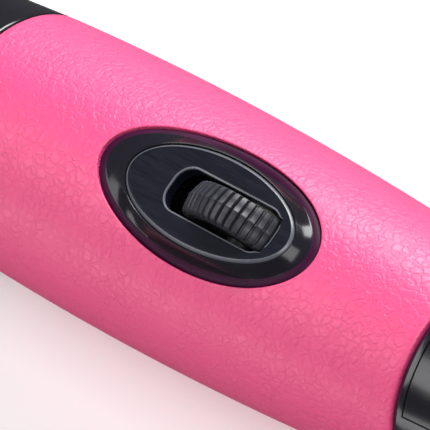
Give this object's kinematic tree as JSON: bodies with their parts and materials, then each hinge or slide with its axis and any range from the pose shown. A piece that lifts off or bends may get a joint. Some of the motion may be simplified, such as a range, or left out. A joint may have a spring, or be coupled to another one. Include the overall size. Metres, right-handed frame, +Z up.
{
  "type": "automatic hair curler",
  "caption": "Motor-driven hair curler: grained barrel-shaped grip with an oval thumb-wheel window, turning heated barrel, spring clamp, folding stand and cord swivel.",
  "frame": {"origin": "on the table under the middle of the bounding box, with the curler standing on its tail and its folding stand", "axes": "+X from the cord end towards the barrel's tip, +Z up away from the table through the thumb wheel's side, +Y to the left seen from the cord end"},
  "size_m": [0.3434, 0.038, 0.0557],
  "materials": {
    "grip_pink": "soft-touch, leather-grained",
    "gloss_black": "high gloss",
    "satin_black": "satin",
    "wheel_black": "semi-gloss, ribbed",
    "swivel_rubber": "matt",
    "steel": "bright",
    "barrel_coating": "smooth ceramic-type coating",
    "brass": "machined",
    "white_plastic": "moulded",
    "grey_plastic": "moulded",
    "aluminium": "extruded",
    "ceramic": "fired",
    "mica": "pressed sheet",
    "board": "lacquered",
    "capacitor_sleeve": "shrink sleeve",
    "light_lens": "translucent"
  },
  "bodies": {
    "handle": {"grip_shell_top": "grip_pink", "grip_shell_bottom": "grip_pink", "case_screw_back_left": "steel", "case_screw_back_right": "steel", "case_screw_front_left": "steel", "case_screw_front_right": "steel", "bezel_ring": "gloss_black", "selector_plate": "satin_black", "wheel_axle": "steel", "wheel_cradle": "grey_plastic", "direction_switch_front": "satin_black", "direction_switch_back": "satin_black", "tail_cap": "gloss_black", "power_switch": "satin_black", "power_light": "light_lens", "control_board": "board", "transformer": "steel", "filter_capacitor": "capacitor_sleeve", "front_collar": "gloss_black", "collar_cover": "gloss_black", "stand_pin_left": "steel", "stand_pin_right": "steel", "gear_motor": "steel", "motor_end_bell": "satin_black", "motor_mount": "steel", "ring_gear": "white_plastic", "contact_brush_back": "brass", "contact_brush_front": "brass", "hub_bearing": "brass", "swivel_retainer": "steel"},
    "motor_output": {"motor_shaft": "steel", "sun_gear": "brass"},
    "barrel": {"drive_hub": "grey_plastic", "planet_pin_1": "steel", "planet_pin_2": "steel", "planet_pin_3": "steel", "slip_ring_back": "brass", "slip_ring_front": "brass", "barrel_base": "satin_black", "barrel_tube": "barrel_coating", "heat_shield": "mica", "heater_block_upper": "aluminium", "heater_block_lower": "aluminium", "heater_plate": "ceramic", "thermal_fuse": "brass", "cool_tip": "satin_black", "clamp_pin": "steel", "clamp_spring": "steel"},
    "planet_1": {"planet_gear_1": "white_plastic"},
    "planet_2": {"planet_gear_2": "white_plastic"},
    "planet_3": {"planet_gear_3": "white_plastic"},
    "clamp": {"clamp_spoon": "barrel_coating", "clamp_lever": "satin_black", "clamp_rivet": "steel"},
    "selector": {"selector_wheel": "wheel_black", "switch_arm": "white_plastic"},
    "power_key": {"power_button": "satin_black"},
    "stand": {"stand_frame": "satin_black"},
    "cord_swivel": {"cord_swivel": "swivel_rubber"}
  },
  "joints": [
    {"name": "barrel_spin", "type": "hinge", "parent": "handle", "child": "barrel", "pos_m": [0.02894, 0, 0.0305], "axis": [0.9962, 0, 0.0872], "continuous": true},
    {"name": "motor_spin", "type": "hinge", "parent": "handle", "child": "motor_output", "pos_m": [-0.01091, 0, 0.02701], "axis": [0.9962, 0, 0.0872], "continuous": true},
    {"name": "planet_spin_1", "type": "hinge", "parent": "barrel", "child": "planet_1", "pos_m": [-0.00692, 0.0072, 0.02736], "axis": [0.9962, 0, 0.0872], "continuous": true},
    {"name": "planet_spin_2", "type": "hinge", "parent": "barrel", "child": "planet_2", "pos_m": [-0.00747, -0.0036, 0.03357], "axis": [0.9962, 0, 0.0872], "continuous": true},
    {"name": "planet_spin_3", "type": "hinge", "parent": "barrel", "child": "planet_3", "pos_m": [-0.00638, -0.0036, 0.02115], "axis": [0.9962, 0, 0.0872], "continuous": true},
    {"name": "clamp_hinge", "type": "hinge", "parent": "barrel", "child": "clamp", "pos_m": [0.03136, 0, 0.04878], "axis": [0, -1, 0], "range_deg": [0, 22], "stiffness_Nm_per_rad": 0.25, "springref_deg": -14.32},
    {"name": "selector_tilt", "type": "hinge", "parent": "handle", "child": "selector", "pos_m": [-0.05738, 0, 0.03499], "axis": [0, 1, 0], "range_deg": [-20, 20], "stiffness_Nm_per_rad": 0.02},
    {"name": "power_press", "type": "slide", "parent": "handle", "child": "power_key", "axis": [0.0872, 0, -0.9962], "range_m": [0, 0.0012], "stiffness_N_per_m": 400},
    {"name": "stand_fold", "type": "hinge", "parent": "handle", "child": "stand", "pos_m": [0.00157, 0, 0.02208], "axis": [0, 1, 0], "range_deg": [0, 65]},
    {"name": "cord_swivel_turn", "type": "hinge", "parent": "handle", "child": "cord_swivel", "pos_m": [-0.16432, 0, 0.01359], "axis": [0.9962, 0, 0.0872], "continuous": true}
  ],
  "couplings": [
    {"joint": "motor_spin", "follows": "barrel_spin", "ratio": 4},
    {"joint": "planet_spin_1", "follows": "barrel_spin", "ratio": -3},
    {"joint": "planet_spin_2", "follows": "barrel_spin", "ratio": -3},
    {"joint": "planet_spin_3", "follows": "barrel_spin", "ratio": -3}
  ]
}
